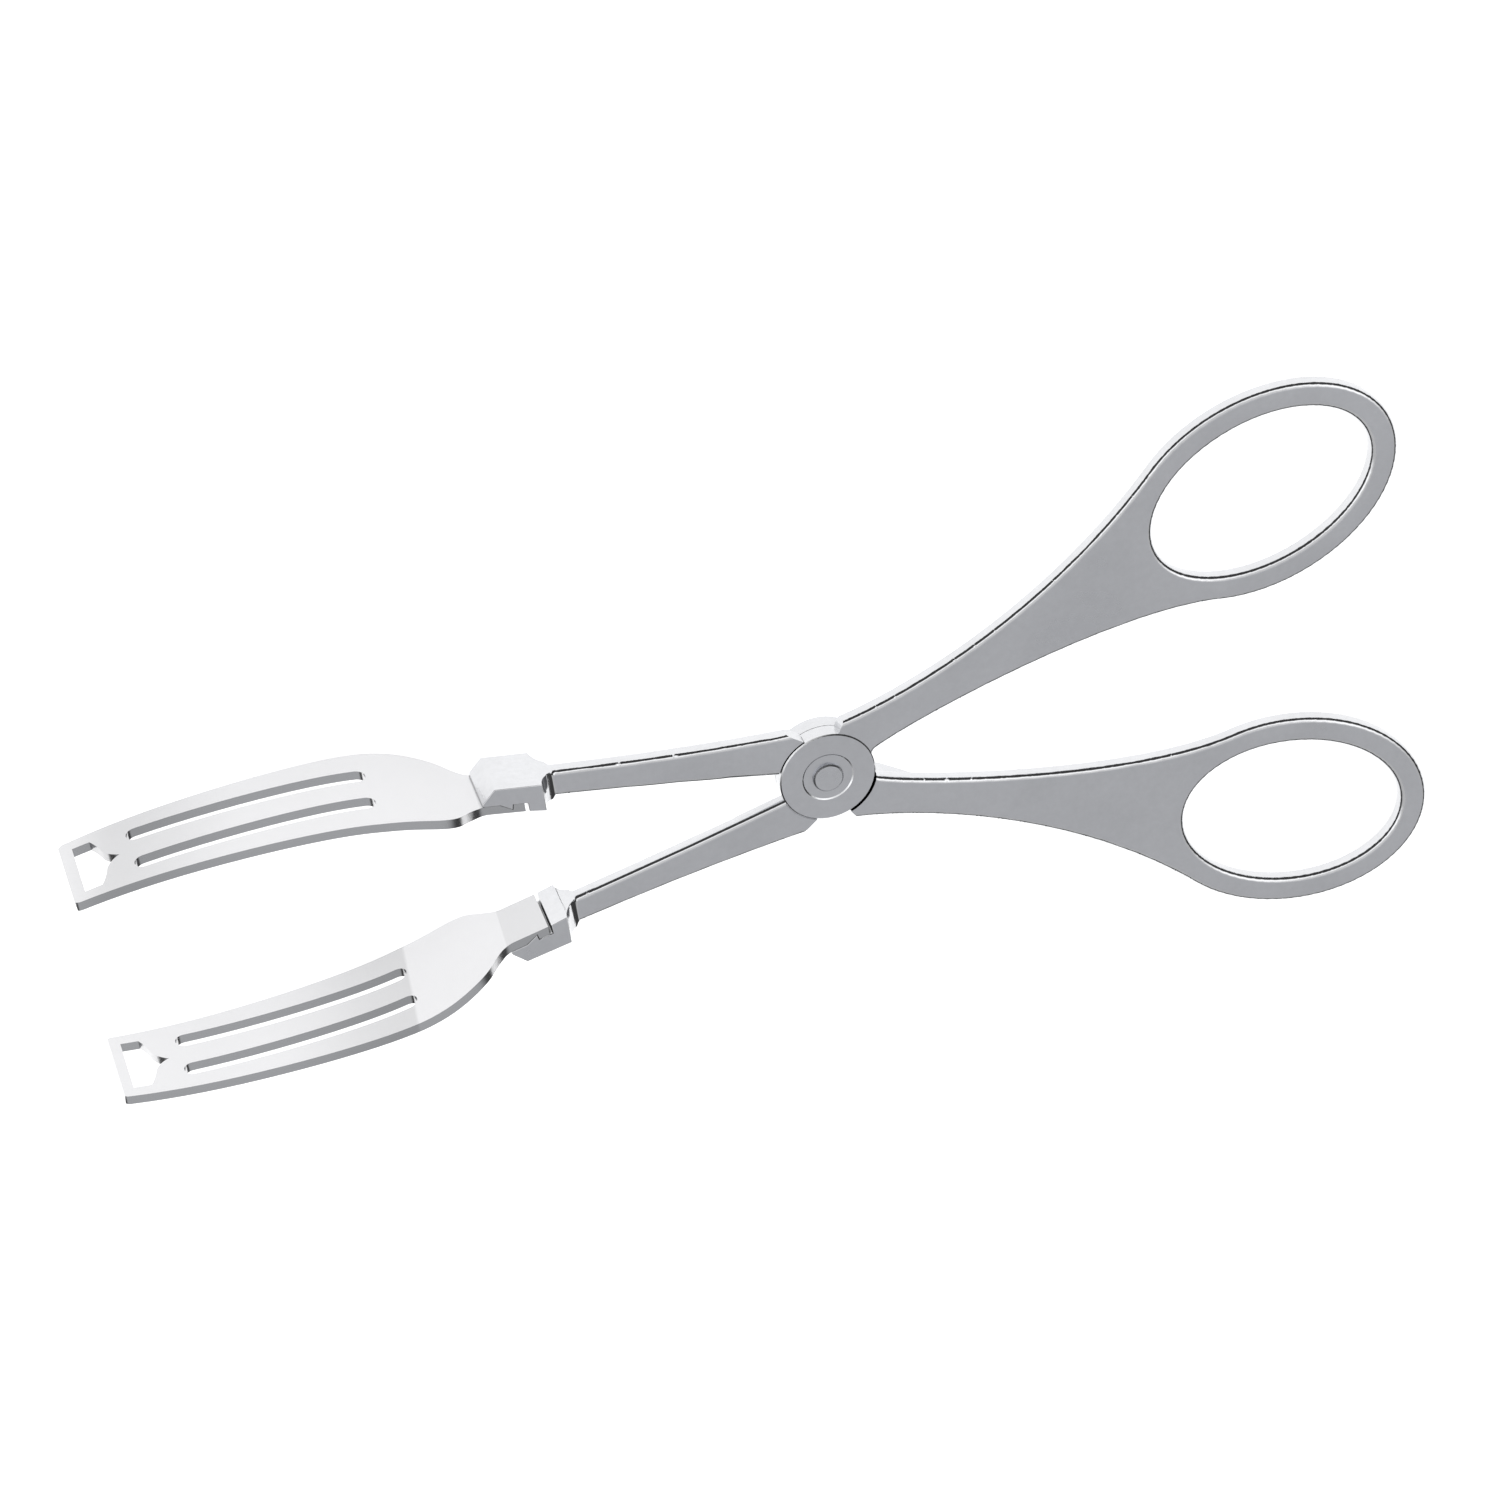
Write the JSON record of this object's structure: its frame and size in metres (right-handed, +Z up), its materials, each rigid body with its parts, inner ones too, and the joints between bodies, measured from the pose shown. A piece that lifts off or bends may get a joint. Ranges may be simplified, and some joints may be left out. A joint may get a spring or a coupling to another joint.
{
  "type": "scissor serving tongs",
  "caption": "Scissor-type serving tongs: mirrored ring-handled steel levers on a riveted joint, with wide bowed slotted gripping blades.",
  "frame": {"origin": "on the table, under the middle of the bounding box, with the tongs lying on the blades' lower edges and the backs of the rings", "axes": "+X from the blades towards the finger rings along the line that halves the opening, +Z up from the table; the pivot axis leans 3.0 degrees from +Z towards +X"},
  "size_m": [0.2012, 0.09, 0.0194],
  "materials": {
    "lever_steel": "satin ground faces with polished rounded edges",
    "blade_steel": "bright polished sheet",
    "rivet_steel": "turned, lightly polished"
  },
  "bodies": {
    "front_half": {"front_lever": "lever_steel", "lower_blade": "blade_steel", "pivot_rivet": "rivet_steel"},
    "rear_half": {"rear_lever": "lever_steel", "upper_blade": "blade_steel"}
  },
  "joints": [
    {"name": "pivot", "type": "hinge", "parent": "front_half", "child": "rear_half", "pos_m": [0.00988, 0, 0.00594], "axis": [0.0521, 0, 0.9986], "range_deg": [-36, 16.5]}
  ]
}
